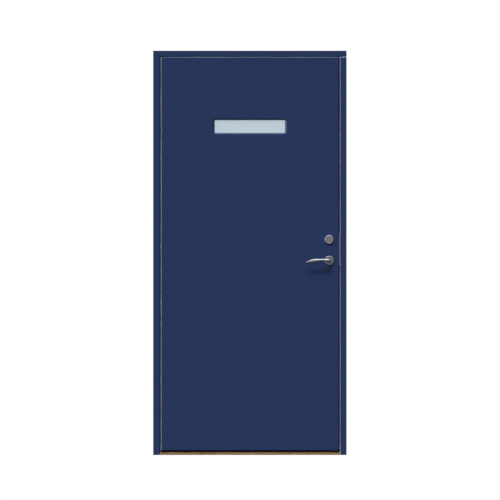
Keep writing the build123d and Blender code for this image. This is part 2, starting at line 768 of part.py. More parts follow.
def make_crank():
    """The cam on the thumb-turn's spindle, with a long arm down into the deadbolt's fork."""
    y0, y1 = case_y()
    wide = (y0 + CASE_WALL + SLIDE_CLEAR, y1 - CASE_WALL - SLIDE_CLEAR)
    arm = cam_arm(CRANK_ARM, 180 - THUMB_TURN / 2)
    hub = along_y(Circle(CRANK_R) + arm, HANDLE_X, CYLINDER_Z, *wide)
    hub += rod(CRANK_R - BEARING_STEP, HANDLE_X, CYLINDER_Z, y0, y1)
    square = Rectangle(TURN_SPINDLE_W + 2 * SQUARE_FIT, TURN_SPINDLE_W + 2 * SQUARE_FIT)
    hub -= along_y(square, HANDLE_X, CYLINDER_Z, y0 + TAIL_SEAT_D, y1)
    return hub - rod(tail_recess_r(), HANDLE_X, CYLINDER_Z, y0, y0 + TAIL_SEAT_D)


def tail_recess_r():
    """Room for the cylinder's tail to turn in."""
    return math.hypot(PLUG_TAIL_W, PLUG_TAIL_T) / 2 + TIP_CLEAR


def make_latch_bolt():
    """A bevelled head, a tail that the spring pushes, and a lug in front of the follower's arm."""
    tip_x = LEAF_X + LATCH_THROW
    head_x = LEAF_X - LATCH_BODY
    half_t = LATCH_T / 2
    plan = outline(
        (head_x, MID_Y - half_t), (tip_x, MID_Y - half_t), (tip_x, MID_Y - half_t / 2),
        (LEAF_X + SLIDE_CLEAR, MID_Y + half_t), (head_x, MID_Y + half_t)
    )
    plan = round_corner(plan, (tip_x, MID_Y - half_t / 2), SMALL_ARRIS)
    head = along_z(plan, 0, 0, LATCH_Z - LATCH_H / 2, LATCH_Z + LATCH_H / 2)
    tail_x = latch_tail_x()
    lug_x = tail_x + LUG_T
    lug_z = HANDLE_Z + FOLLOWER_R + ARM_TIP_R
    bar_z = tail_bar_z()
    bar = block(tail_x, head_x, MID_Y - TAIL_BAR / 2, MID_Y + TAIL_BAR / 2, bar_z, bar_z + TAIL_BAR)
    lug = block(tail_x, lug_x, MID_Y - half_t, MID_Y + half_t, lug_z, bar_z + TAIL_BAR)
    return head + bar + lug


def tail_bar_z():
    """The underside of the latch's tail, just above the sweep of the follower's arm."""
    return HANDLE_Z + FOLLOWER_ARM + ARM_TIP_R + 2 * TIP_CLEAR


def latch_tail_x():
    """The end of the latch's tail at rest."""
    return HANDLE_X + LATCH_THROW / 2 - ARM_TIP_R - TIP_CLEAR - LUG_T


def make_latch_spring():
    """A compression spring between the case's back wall and the latch's tail."""
    x0 = case_x()[0] + CASE_WALL
    half_wire = SPRING_WIRE / 2
    length = latch_tail_x() - x0 - SPRING_WIRE
    plane = Plane(
        origin=(x0 + half_wire, MID_Y, tail_bar_z() + TAIL_BAR / 2), x_dir=(0, 1, 0), z_dir=(1, 0, 0)
    )
    path = Helix(pitch=length / SPRING_TURNS, height=length, radius=TAIL_BAR / 2 - half_wire)
    section = Plane(origin=path @ 0, z_dir=path % 0) * Rectangle(SPRING_WIRE, SPRING_WIRE)
    return plane * sweep(section, path=path, is_frenet=True)


def make_deadbolt():
    """A solid bolt with a fork in its tail for the crank's arm."""
    head_x = LEAF_X - BOLT_BODY
    half_t = BOLT_T / 2
    head = block(
        head_x, LEAF_X, MID_Y - half_t, MID_Y + half_t, BOLT_Z - BOLT_H / 2, BOLT_Z + BOLT_H / 2
    )
    head = chamfer(head.edges().group_by(Axis.X)[-1], SMALL_ARRIS / 2)
    fork_x = HANDLE_X - BOLT_THROW / 2
    half_notch = ARM_TIP_R + FORK_CLEAR
    top = CYLINDER_Z - CRANK_ARM * math.cos(math.radians(THUMB_TURN / 2))
    floor = CYLINDER_Z - CRANK_ARM - ARM_TIP_R - FORK_CLEAR
    x0 = fork_x - half_notch - FORK_WALL
    tail = block(x0, head_x, MID_Y - half_t, MID_Y + half_t, BOLT_Z - FORK_WALL, top)
    notch = block(fork_x - half_notch, fork_x + half_notch, MID_Y - half_t, MID_Y + half_t, floor, top)
    return head + (tail - notch)


def make_case():
    """The case: a tray open at the back face and behind the forend, and its flat cover."""
    x0, x1 = case_x()
    y0, y1 = case_y()
    z0, z1 = CASE_Z
    tray = block(x0, x1, y0, y1 - CASE_WALL, z0, z1)
    tray -= block(
        x0 + CASE_WALL, x1, y0 + CASE_WALL, y1 - CASE_WALL, z0 + CASE_WALL, z1 - CASE_WALL
    )
    cover = block(x0, x1, y1 - CASE_WALL, y1, z0, z1)
    holes = [
        rod(FOLLOWER_R - BEARING_STEP + BEARING_FIT, HANDLE_X, HANDLE_Z, y0, y1),
        rod(CRANK_R - BEARING_STEP + BEARING_FIT, HANDLE_X, CYLINDER_Z, y0, y1),
        *rose_bolt_bores(ROSE_BOLT[1] + HOLE_CLEAR, y0, y1),
    ]
    return cut(tray, *holes), cut(cover, *holes)


def make_forend():
    """The face plate in the leaf's edge, with its two openings."""
    half_w = FOREND_W / 2
    plate = block(LEAF_X - FOREND_T, LEAF_X, MID_Y - half_w, MID_Y + half_w, *FOREND_Z)
    for z, height, thickness in ((LATCH_Z, LATCH_H, LATCH_T), (BOLT_Z, BOLT_H, BOLT_T)):
        half_t = thickness / 2 + SLIDE_CLEAR
        half_h = height / 2 + SLIDE_CLEAR
        plate -= block(LEAF_X - FOREND_T, LEAF_X, MID_Y - half_t, MID_Y + half_t, z - half_h, z + half_h)
    return plate


def make_forend_screws():
    """One screw near each end of the forend, clear of the case."""
    ends = [(forend_z + case_z) / 2 for forend_z, case_z in zip(FOREND_Z, CASE_Z)]
    return [screw((LEAF_X, MID_Y, z), (-1, 0, 0), PLATE_SCREW) for z in ends]


def lock_pocket():
    """The mortise in the lock stile: the case's room and the forend's seat."""
    x0, x1 = case_x()
    y0, y1 = case_y()
    half_w = FOREND_W / 2
    seat = block(LEAF_X - FOREND_T, LEAF_X, MID_Y - half_w, MID_Y + half_w, *FOREND_Z)
    return [block(x0, x1, y0, y1, *CASE_Z), seat]


# Handle and cylinder

def rose_bolt_bores(radius, y0, y1):
    """Bores for the two bolts that clamp the roses, left and right of the spindle."""
    return [rod(radius, HANDLE_X + dx, HANDLE_Z, y0, y1) for dx in (-ROSE_BOLT_X, ROSE_BOLT_X)]


def to_inside(solid):
    """The same piece on the leaf's inner face."""
    return mirror(solid, about=Plane(origin=(0, MID_Y, 0), z_dir=(0, 1, 0)))


def make_rose():
    """A turned cover with a softly rounded edge, hollow behind, with the lever's bearing in it."""
    face_y = FRONT_Y - ROSE_H
    dome = rod(ROSE_R, HANDLE_X, HANDLE_Z, face_y, FRONT_Y)
    rim = dome.faces().sort_by(Axis.Y)[0].outer_wire().edges()
    dome = fillet(rim, ROSE_EDGE)
    hollow = Circle(ROSE_R - ROSE_WALL) - Circle(NECK_R + ROSE_WALL * 2)
    dome -= along_y(hollow, HANDLE_X, HANDLE_Z, face_y + ROSE_FACE, FRONT_Y)
    return dome - rod(NECK_R + BEARING_FIT, HANDLE_X, HANDLE_Z, face_y, FRONT_Y)


def make_outer_rose():
    """The outer rose, with two threaded posts on its back."""
    posts = rose_bolt_bores(ROSE_POST_R, FRONT_Y - ROSE_H + ROSE_WALL, FRONT_Y + ROSE_POST_L)
    rose = make_rose()
    for post in posts:
        rose += post
    return cut(rose, *rose_bolts())


def rose_bolts():
    """Bolts from the inner rose through the case into the outer rose's posts."""
    head_y = LEAF_BACK_Y + ROSE_H
    return [
        screw((HANDLE_X + dx, head_y, HANDLE_Z), (0, -1, 0), ROSE_BOLT)
        for dx in (-ROSE_BOLT_X, ROSE_BOLT_X)
    ]


def make_inner_rose():
    """The inner rose, with solid seats round the bolts."""
    rose = to_inside(make_rose())
    for seat in rose_bolt_bores(ROSE_POST_R, LEAF_BACK_Y, LEAF_BACK_Y + ROSE_H - ROSE_WALL):
        rose += seat
    return cut(rose, *rose_bolts())


def blade_station(reach, half_height, half_depth, rise, back):
    """A section across the lever's blade, at a reach from the spindle's axis."""
    y = FRONT_Y - NECK_OUT + back
    plane = Plane(origin=(HANDLE_X - reach, y, HANDLE_Z + rise), x_dir=(0, 1, 0), z_dir=(-1, 0, 0))
    return plane * Ellipse(half_depth, half_height)


def make_outer_lever():
    """A cast lever: a round neck, a tight bend, and a blade that swells and then sweeps to a point."""
    base_y = FRONT_Y - NECK_LIFT
    turn_y = FRONT_Y - NECK_OUT + NECK_BEND
    neck_plane = Plane(origin=(HANDLE_X, turn_y, HANDLE_Z), x_dir=(1, 0, 0), z_dir=(0, -1, 0))
    neck = rod(NECK_R, HANDLE_X, HANDLE_Z, turn_y, base_y)
    root = blade_station(NECK_BEND + ROOT_REACH, *ROOT_SECTION)
    waist_in = NECK_BEND * (1 - math.sqrt(0.5))
    waist_at = (HANDLE_X - waist_in, FRONT_Y - NECK_OUT + waist_in, HANDLE_Z + ROOT_SECTION[2] / 2)
    waist = Plane(origin=waist_at, x_dir=(1, -1, 0), z_dir=(-1, -1, 0)) * Circle(NECK_R * BEND_WAIST)
    bend = loft([neck_plane * Circle(NECK_R), waist, root])
    blade = loft([root, *[blade_station(*section) for section in BLADE_SECTIONS]])
    lever = neck + bend + blade
    square = Rectangle(SPINDLE_W + 2 * SQUARE_FIT, SPINDLE_W + 2 * SQUARE_FIT)
    return lever - along_y(square, HANDLE_X, HANDLE_Z, turn_y, base_y)


def make_spindle():
    """A square bar from the end of one lever's socket to the other's."""
    reach = NECK_OUT - NECK_BEND
    bar = Rectangle(SPINDLE_W, SPINDLE_W)
    return along_y(bar, HANDLE_X, HANDLE_Z, FRONT_Y - reach, LEAF_BACK_Y + reach)


def make_ring():
    """The oval ring round the cylinder, rounded at its edge and bevelled round its opening."""
    z = CYLINDER_Z + RING_LIFT
    ring = along_y(stadium(RING_W, RING_H), HANDLE_X, z, FRONT_Y - RING_OUT, FRONT_Y)
    rim = ring.faces().sort_by(Axis.Y)[0].outer_wire().edges()
    ring = fillet(rim, RING_EDGE)
    opening = stadium(OVAL_W + 2 * BEZEL_CLEAR, OVAL_H + 2 * BEZEL_CLEAR)
    ring -= along_y(opening, HANDLE_X, z, FRONT_Y - RING_OUT, FRONT_Y)
    mouth = ring.faces().sort_by(Axis.Y)[0].inner_wires()[0].edges()
    return chamfer(mouth, OVAL_SET / 2)


def make_cylinder_body():
    """The oval lock cylinder's body, with the plug's bore below its middle."""
    z = CYLINDER_Z + RING_LIFT
    body = along_y(
        stadium(OVAL_W, OVAL_H), HANDLE_X, z, FRONT_Y - RING_OUT + OVAL_SET, case_y()[0] - OVAL_SET
    )
    return body - rod(PLUG_R + BEARING_FIT, HANDLE_X, CYLINDER_Z, FRONT_Y - RING_OUT, case_y()[0])


def make_cylinder_plug():
    """The turning plug: a round barrel with a keyway, and a flat tail towards the lock case."""
    front = FRONT_Y - RING_OUT + OVAL_SET / 2
    back = case_y()[0] - OVAL_SET
    plug = rod(PLUG_R, HANDLE_X, CYLINDER_Z, front, back)
    tail = Rectangle(PLUG_TAIL_T, PLUG_TAIL_W)
    plug += along_y(tail, HANDLE_X, CYLINDER_Z, back, case_y()[0] + TAIL_SEAT_D / 2)
    keyway = Pos(0, -KEYWAY_DROP) * SlotOverall(KEYWAY_H, KEYWAY_W, rotation=90)
    return plug - along_y(keyway, HANDLE_X, CYLINDER_Z, front, front + KEYWAY_D)


def make_turn_rose():
    """The plain oval plate behind the thumb-turn."""
    z = CYLINDER_Z + RING_LIFT
    face_y = LEAF_BACK_Y + TURN_ROSE_OUT
    plate = along_y(stadium(RING_W, RING_H), HANDLE_X, z, LEAF_BACK_Y, face_y)
    rim = plate.faces().sort_by(Axis.Y)[-1].outer_wire().edges()
    plate = fillet(rim, ROSE_EDGE)
    return plate - rod(PLUG_R + BEARING_FIT, HANDLE_X, CYLINDER_Z, LEAF_BACK_Y, face_y)


def make_thumbturn():
    """A flat oval grip on a round neck, with a square spindle into the crank."""
    face_y = LEAF_BACK_Y + TURN_ROSE_OUT
    neck = rod(PLUG_R, HANDLE_X, CYLINDER_Z, LEAF_BACK_Y + NECK_LIFT, face_y + TURN_COLLAR)
    grip_y = (face_y + TURN_LIFT, face_y + TURN_OUT)
    grip = along_y(SlotOverall(TURN_L, TURN_T), HANDLE_X, CYLINDER_Z, *grip_y)
    rims = [
        *grip.faces().sort_by(Axis.Y)[-1].outer_wire().edges(),
        *grip.faces().sort_by(Axis.Y)[0].outer_wire().edges(),
    ]
    grip = fillet(rims, SMALL_ARRIS)
    square = Rectangle(TURN_SPINDLE_W, TURN_SPINDLE_W)
    seat_y = case_y()[0] + TAIL_SEAT_D + SLIDE_CLEAR
    spindle = along_y(square, HANDLE_X, CYLINDER_Z, seat_y, face_y)
    return neck + grip + spindle


def lock_bores():
    """Bores through the lock stile and the skins for the handle, the cylinder and the thumb-turn."""
    y0, y1 = case_y()
    oval = stadium(OVAL_W + 2 * HOLE_CLEAR, OVAL_H + 2 * HOLE_CLEAR)
    bores = [
        rod(FOLLOWER_R, HANDLE_X, HANDLE_Z, FRONT_Y, LEAF_BACK_Y),
        along_y(oval, HANDLE_X, CYLINDER_Z + RING_LIFT, FRONT_Y, y0),
        rod(CRANK_R - BEARING_STEP + HOLE_CLEAR, HANDLE_X, CYLINDER_Z, y1, LEAF_BACK_Y),
        *rose_bolt_bores(ROSE_POST_R + BEARING_FIT, FRONT_Y, FRONT_Y + ROSE_POST_L),
        *rose_bolt_bores(ROSE_BOLT[1], FRONT_Y + ROSE_POST_L, LEAF_BACK_Y),
    ]
    return bores


# The whole door set

def make_frame_nodes():
    """Everything that stays with the wall."""
    hinge_jamb, lock_jamb = make_jambs()
    corner_screws = make_corner_screws()
    cup_screws = [item for z in HINGE_ZS for item in make_cup_screws(z)]
    strike_screws = make_strike_screws()
    sleeves = {side: make_sleeves(side) for side in (-1, 1)}
    sleeve_bores = {
        side: [
            along_x(Circle(SLEEVE_R), SLEEVE_Y, z, *sorted((side * REBATE_X, side * HALF_W)))
            for z in SLEEVE_ZS
        ]
        for side in (-1, 1)
    }
    cups = [cup_body(z) for z in HINGE_ZS]
    hinge_jamb = cut(hinge_jamb, *cups, *cup_screws, *sleeve_bores[-1], *corner_screws)
    lock_jamb = cut(lock_jamb, *strike_pocket(), *strike_screws, *sleeve_bores[1], *corner_screws)
    pin_half = cup_half_height() + CUP_WALL
    nodes = {
        "frame_head": cut(make_head(), *corner_screws),
        "hinge_jamb": hinge_jamb,
        "lock_jamb": lock_jamb,
        "threshold": cut(make_threshold(), *corner_screws),
        **make_seals(),
        "strike_plate": cut(make_strike(), *strike_screws),
        "strike_screws": group(strike_screws),
        "hinge_cup_screws": group(cup_screws),
        "hinge_pins": group(hinge_rod(PIN_R, pin_half, z) for z in HINGE_ZS),
        "frame_sleeves": group(sleeves[-1] + sleeves[1]),
        "corner_screws": group(corner_screws),
    }
    for name, z in zip(HINGE_NAMES, HINGE_ZS):
        nodes["hinge_cup_" + name] = cut(make_hinge_cup(z), *make_cup_screws(z))
    return nodes


def make_leaf_nodes():
    """The leaf's skins, framing, light, lock and fittings that do not move in it."""
    outer_skin, inner_skin, core = make_skins_and_core()
    nodes = {"outer_skin": outer_skin, "inner_skin": inner_skin, **split_core(core)}
    light, light_holes = make_light()
    arm_screws = [item for z in HINGE_ZS for item in make_arm_screws(z)]
    plate_u = (SIDE_GAP, SIDE_GAP + ARM_PLATE_T)
    arm_seats = [hinge_block(plate_u, ARM_PLATE_V, ARM_PLATE_H / 2, z) for z in HINGE_ZS]
    forend_screws = make_forend_screws()
    bores = lock_bores()
    for name in ("outer_skin", "inner_skin", "hinge_stile"):
        nodes[name] = cut(nodes[name], *arm_seats, *arm_screws)
    for name in ("outer_skin", "inner_skin", "lock_stile"):
        nodes[name] = cut(nodes[name], *bores)
    nodes["lock_stile"] = cut(nodes["lock_stile"], *lock_pocket(), *forend_screws)
    for name, tools in light_holes.items():
        nodes[name] = cut(nodes[name], *tools)
    case, cover = make_case()
    nodes.update(light)
    nodes.update({
        "lock_case": case,
        "lock_cover": cover,
        "forend": cut(make_forend(), *forend_screws),
        "forend_screws": group(forend_screws),
        "latch_spring": make_latch_spring(),
        "hinge_arm_screws": group(arm_screws),
        "outer_rose": make_outer_rose(),
        "inner_rose": make_inner_rose(),
        "rose_bolts": group(rose_bolts()),
        "cylinder_ring": make_ring(),
        "cylinder_body": make_cylinder_body(),
        "thumbturn_rose": make_turn_rose(),
    })
    for name, z in zip(HINGE_NAMES, HINGE_ZS):
        nodes["hinge_arm_" + name] = cut(make_hinge_arm(z), *make_arm_screws(z))
    return nodes


def make_moving_nodes():
    """The pieces that move in the leaf."""
    outer_lever = make_outer_lever()
    return {
        "outer_lever": outer_lever,
        "inner_lever": to_inside(outer_lever),
        "spindle": make_spindle(),
        "follower": make_follower(),
        "latch_bolt": make_latch_bolt(),
        "deadbolt": make_deadbolt(),
        "thumbturn": make_thumbturn(),
        "deadbolt_crank": make_crank(),
        "cylinder_plug": make_cylinder_plug(),
    }


os.makedirs("parts", exist_ok=True)
all_nodes = {**make_frame_nodes(), **make_leaf_nodes(), **make_moving_nodes()}
for node_name, node_shape in all_nodes.items():
    node_shape.label = node_name
    export_step(node_shape, "parts/" + node_name + ".step")
    print(node_name)
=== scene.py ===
# %% [markdown]
# # A steel-faced front door in its painted frame
# The part is a flush outer door with one low, wide light of frosted glass, hung in a timber frame.
# Its shapes come ready made from the imported model, so this notebook gives them their finishes,
# puts real screw heads where plain ones were, copies the latch spring, and lights the door
# for a straight front view.

# %% Load the imported model
import math

import bmesh
import bpy
from mathutils import Matrix, Vector


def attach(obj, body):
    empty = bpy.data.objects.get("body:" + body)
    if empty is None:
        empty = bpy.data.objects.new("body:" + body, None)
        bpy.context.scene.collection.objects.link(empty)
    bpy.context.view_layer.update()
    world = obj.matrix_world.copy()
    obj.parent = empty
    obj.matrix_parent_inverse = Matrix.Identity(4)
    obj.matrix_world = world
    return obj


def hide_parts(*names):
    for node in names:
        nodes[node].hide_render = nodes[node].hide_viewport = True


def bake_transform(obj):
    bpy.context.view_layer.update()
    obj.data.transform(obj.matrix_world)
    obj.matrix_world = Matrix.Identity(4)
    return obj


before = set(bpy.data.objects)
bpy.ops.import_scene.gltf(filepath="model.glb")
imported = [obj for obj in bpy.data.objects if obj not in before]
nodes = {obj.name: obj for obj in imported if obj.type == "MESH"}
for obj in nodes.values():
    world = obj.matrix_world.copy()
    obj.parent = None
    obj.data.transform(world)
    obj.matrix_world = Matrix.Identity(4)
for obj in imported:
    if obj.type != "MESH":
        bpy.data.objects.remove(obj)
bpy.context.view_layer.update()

# %% [markdown]
# ## Colours and patterns
# A paint chart gives colours as sRGB, the numbers a screen shows. A shader works with light, so
# each colour is turned to linear once, here. Patterns are sized from the real thing in the same
# spirit: a texture's scale is how often it repeats in a metre, and a grain is known in millimetres.
# The door's blue is on three finishes, so it is named here. It is a little deeper and purer than
# the blue that the photo shows, because a coat's gloss adds some white light to its colour.

# %% Turn a paint chart's colour to linear, and a spacing to a scale
def paint(hex_code):
    """A linear RGBA colour from an sRGB hex code."""
    channels = [int(hex_code[i : i + 2], 16) / 255 for i in (1, 3, 5)]
    linear = [c / 12.92 if c <= 0.04045 else ((c + 0.055) / 1.055) ** 2.4 for c in channels]
    return (*linear, 1.0)


def every(millimetres):
    """The texture scale of a pattern that repeats every so many millimetres."""
    return 1000.0 / millimetres


door_blue = paint("#23355F")
print("door blue, linear:", [round(c, 4) for c in door_blue])

# %% [markdown]
# ## One way to add a node
# A material is a small graph. Adding a node always means the same three things: its kind, its
# settings, and what feeds it, so one function does that for every kind. A name that the node has
# as a property sets the property, and any other name sets or links the input of that name.

# %% Add a node with its settings and links
def add(tree, kind, **settings):
    """Adds a node: a socket as a value makes a link, anything else is a setting."""
    node = tree.nodes.new(kind)
    for name, value in settings.items():
        socket = node.inputs.get(name.replace("_", " ")) if not hasattr(node, name) else None
        if isinstance(value, bpy.types.NodeSocket):
            tree.links.new(value, socket)
        elif socket is not None:
            socket.default_value = value
        else:
            setattr(node, name, value)
    return node


def new_finish(name, **settings):
    """A material with one Principled shader, and its tree, ready for patterns."""
    finish = bpy.data.materials.new(name)
    finish.use_nodes = True
    tree = finish.node_tree
    tree.nodes.clear()
    shader = add(tree, "ShaderNodeBsdfPrincipled", **settings)
    add(tree, "ShaderNodeOutputMaterial", Surface=shader.outputs["BSDF"])
    return finish, tree, shader


def dress(finish, *names):
    """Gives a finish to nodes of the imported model."""
    for name in names:
        for slot in nodes[name].material_slots:
            slot.material = finish
    print(finish.name, "on", len(names), "nodes")


# %% [markdown]
# ## Powder-coated steel
# The leaf's skins are folded sheet steel. Dark blue powder was sprayed on dry and melted in an
# oven, which leaves a very even colour with a fine orange peel, a ripple a couple of millimetres
# across. The coat is a polyester with an IOR near 1.5. The leaf's edges draw thin, clear lines of
# light, which a matt coat could not do, so its roughness is a satin 0.32. The ripple is only a
# bump: it moves highlights a little and leaves the colour alone.

# %% Powder coat on the leaf's skins
powder_coat, tree, shader = new_finish(
    "powder_coated_steel", Base_Color=door_blue, Roughness=0.32, IOR=1.5
)
place = add(tree, "ShaderNodeTexCoord").outputs["Object"]
peel = add(tree, "ShaderNodeTexNoise", Vector=place, Scale=every(2.2), Detail=2.0)
bump = add(
    tree, "ShaderNodeBump", Height=peel.outputs["Fac"], Strength=0.25, Distance=0.00004
)
tree.links.new(bump.outputs["Normal"], shader.inputs["Normal"])
dress(powder_coat, "outer_skin", "inner_skin")

# %% [markdown]
# ## Painted timber
# The frame is planed pine under three coats of the same blue. Paint hides the colour of the wood
# but not quite its grain: long shallow ridges still show when light rakes along them. The grain
# follows the tree, so it runs up the jambs and stiles and along the head and rails. Stretching
# the noise in one direction gives both, with one recipe and two directions. Brushed paint is a
# touch less smooth than powder, so its roughness is 0.34.

# %% Paint over timber, in two directions
def painted_timber(name, grain):
    """Blue paint on planed pine: grain is the spacing of its ridges along X, Y and Z in mm."""
    finish, tree, shader = new_finish(
        name, Base_Color=door_blue, Roughness=0.34, IOR=1.5
    )
    place = add(tree, "ShaderNodeTexCoord").outputs["Object"]
    stretched = add(tree, "ShaderNodeMapping", Vector=place)
    stretched.inputs["Scale"].default_value = [every(spacing) for spacing in grain]
    ridges = add(
        tree, "ShaderNodeTexNoise", Vector=stretched.outputs["Vector"], Scale=1.0, Detail=3.0
    )
    bump = add(
        tree, "ShaderNodeBump", Height=ridges.outputs["Fac"], Strength=0.3, Distance=0.00006
    )
    tree.links.new(bump.outputs["Normal"], shader.inputs["Normal"])
    return finish


upright_timber = painted_timber("painted_pine_upright", (3.0, 3.0, 160.0))
level_timber = painted_timber("painted_pine_level", (160.0, 3.0, 3.0))
dress(upright_timber, "hinge_jamb", "lock_jamb", "hinge_stile", "lock_stile")
dress(level_timber, "frame_head", "top_rail", "bottom_rail")

# %% [markdown]
# ## Moulded ASA
# The two frames that hold the glass are injection moulded in ASA, a plastic that keeps its colour
# outdoors. The mould was spark eroded, so the skin has a grit of about half a millimetre. Grit
# that fine is far below a pixel here, so it is drawn a little coarser. The grit also makes the
# plastic duller than the paint: the roughness is 0.7, and the pits shade much of the mirror part,
# which is what the low specular level says.

# %% Moulded plastic round the glass
moulded, tree, shader = new_finish(
    "moulded_asa", Base_Color=door_blue, Roughness=0.7, IOR=1.52, Specular_IOR_Level=0.25
)
place = add(tree, "ShaderNodeTexCoord").outputs["Object"]
grit = add(tree, "ShaderNodeTexNoise", Vector=place, Scale=every(0.9), Detail=1.0)
bump = add(
    tree, "ShaderNodeBump", Height=grit.outputs["Fac"], Strength=0.3, Distance=0.00003
)
tree.links.new(bump.outputs["Normal"], shader.inputs["Normal"])
dress(moulded, "outer_bezel", "inner_bezel")

# %% [markdown]
# ## Oiled oak
# The threshold is oak, oiled and worn by weather. Oak shows two patterns at once: broad bands of
# early and late growth that run the length of the board and wander a little, and thousands of
# open pores, dark dashes a few centimetres long. The bands colour the wood through a ramp. The
# pores darken it again and are cut in as bump. Real pores are 0.3 mm wide, too fine for a pixel of
# five millimetres, so they are drawn 1.6 mm wide.

# %% Oak with bands and pores
oak, tree, shader = new_finish("oiled_oak", Roughness=0.62, IOR=1.5)
place = add(tree, "ShaderNodeTexCoord").outputs["Object"]
along_board = add(tree, "ShaderNodeMapping", Vector=place)
along_board.inputs["Scale"].default_value = (every(210.0), every(9.0), every(9.0))
bands = add(
    tree, "ShaderNodeTexNoise", Vector=along_board.outputs["Vector"], Scale=1.0, Detail=4.0
)
band_colour = add(tree, "ShaderNodeValToRGB", Fac=bands.outputs["Fac"])
band_colour.color_ramp.elements[0].position = 0.3
band_colour.color_ramp.elements[0].color = paint("#8F6D46")
band_colour.color_ramp.elements[1].position = 0.7
band_colour.color_ramp.elements[1].color = paint("#C4A074")
along_pore = add(tree, "ShaderNodeMapping", Vector=place)
along_pore.inputs["Scale"].default_value = (every(35.0), every(1.6), every(1.6))
pores = add(
    tree, "ShaderNodeTexNoise", Vector=along_pore.outputs["Vector"], Scale=1.0, Detail=2.0
)
pore_depth = add(tree, "ShaderNodeValToRGB", Fac=pores.outputs["Fac"])
pore_depth.color_ramp.elements[0].position = 0.36
pore_depth.color_ramp.elements[0].color = paint("#8C8C8C")
pore_depth.color_ramp.elements[1].position = 0.5
pore_depth.color_ramp.elements[1].color = paint("#FFFFFF")
wood = add(tree, "ShaderNodeMix", data_type="RGBA", blend_type="MULTIPLY")
wood.inputs["Factor"].default_value = 1.0
tree.links.new(band_colour.outputs["Color"], wood.inputs[6])
tree.links.new(pore_depth.outputs["Color"], wood.inputs[7])
tree.links.new(wood.outputs[2], shader.inputs["Base Color"])
bump = add(
    tree, "ShaderNodeBump", Height=pore_depth.outputs["Color"], Strength=0.5, Distance=0.0002
)
tree.links.new(bump.outputs["Normal"], shader.inputs["Normal"])
dress(oak, "threshold")

# %% [markdown]
# ## Frosted and clear glass
# The outer pane is acid-etched, which turns its face into a field of tiny pits. Light passes, but
# every ray leaves in a new direction, so the pane glows softly and nothing is seen through it.
# That is mostly transmission, made rough, and for the rest plain scattering from the etched skin.
# In the photo the pane is as bright as a lit screen and has no pattern, so the light comes through
# it from behind. The glass itself is a pale blue grey, the cool tint that the pane has there. The
# inner pane is ordinary float glass, smooth and almost colourless. Both have an IOR of 1.52.

# %% Etched outer pane and float glass inside
etched, tree, shader = new_finish(
    "acid_etched_glass", Base_Color=paint("#D3DDE8"), Roughness=0.34, IOR=1.52,
    Transmission_Weight=0.85,
)
place = add(tree, "ShaderNodeTexCoord").outputs["Object"]
pits = add(tree, "ShaderNodeTexNoise", Vector=place, Scale=every(0.8), Detail=2.0)
bump = add(
    tree, "ShaderNodeBump", Height=pits.outputs["Fac"], Strength=0.4, Distance=0.00003
)
tree.links.new(bump.outputs["Normal"], shader.inputs["Normal"])
dress(etched, "outer_pane")

float_glass, tree, shader = new_finish(
    "float_glass", Base_Color=paint("#EEF4F1"), Roughness=0.02, IOR=1.52, Transmission_Weight=1.0
)
place = add(tree, "ShaderNodeTexCoord").outputs["Object"]
draw_lines = add(tree, "ShaderNodeTexNoise", Vector=place, Scale=every(60.0), Detail=0.0)
bump = add(
    tree, "ShaderNodeBump", Height=draw_lines.outputs["Fac"], Strength=0.1, Distance=0.0001
)
tree.links.new(bump.outputs["Normal"], shader.inputs["Normal"])
dress(float_glass, "inner_pane")

# %% [markdown]
# ## Satin nickel
# Levers, roses and the cylinder's ring are cast zinc, plated with nickel and brushed with a fine
# belt. The photo shows it as a neutral grey mirror. The belt leaves fine scratches that spread the
# highlight across them, so the roughness is moderate and varies along thin streaks. The scratches
# are 0.05 mm apart on the real thing and are drawn 0.6 mm apart here, so that they just show.

# %% Brushed nickel plate
satin_nickel, tree, shader = new_finish(
    "satin_nickel_plate", Base_Color=paint("#CFCED1"), Metallic=1.0
)
place = add(tree, "ShaderNodeTexCoord").outputs["Object"]
along_belt = add(tree, "ShaderNodeMapping", Vector=place)
along_belt.inputs["Scale"].default_value = (every(18.0), every(0.6), every(0.6))
scratches = add(
    tree, "ShaderNodeTexNoise", Vector=along_belt.outputs["Vector"], Scale=1.0, Detail=3.0
)
satin = add(tree, "ShaderNodeMapRange", Value=scratches.outputs["Fac"])
satin.inputs["To Min"].default_value = 0.24
satin.inputs["To Max"].default_value = 0.36
tree.links.new(satin.outputs["Result"], shader.inputs["Roughness"])
bump = add(
    tree, "ShaderNodeBump", Height=scratches.outputs["Fac"], Strength=0.2, Distance=0.00003
)
tree.links.new(bump.outputs["Normal"], shader.inputs["Normal"])
dress(
    satin_nickel, "outer_lever", "inner_lever", "outer_rose", "inner_rose",
    "cylinder_ring", "thumbturn_rose", "thumbturn",
)

# %% [markdown]
# ## Plated brass
# The lock cylinder is brass, turned on a lathe and given a thin nickel plate. It is not brushed
# afterwards, so it is a little duller than the handle. Turning leaves rings round the axis, which a
# noise in plain object space can suggest well enough on a face 30 mm wide.

# %% Nickel-plated brass of the cylinder
plated_brass, tree, shader = new_finish(
    "nickel_plated_brass", Base_Color=paint("#DCDCDC"), Metallic=1.0
)
place = add(tree, "ShaderNodeTexCoord").outputs["Object"]
turning = add(tree, "ShaderNodeTexNoise", Vector=place, Scale=every(1.2), Detail=2.0)
satin = add(tree, "ShaderNodeMapRange", Value=turning.outputs["Fac"])
satin.inputs["To Min"].default_value = 0.34
satin.inputs["To Max"].default_value = 0.46
tree.links.new(satin.outputs["Result"], shader.inputs["Roughness"])
dress(plated_brass, "cylinder_body", "cylinder_plug")
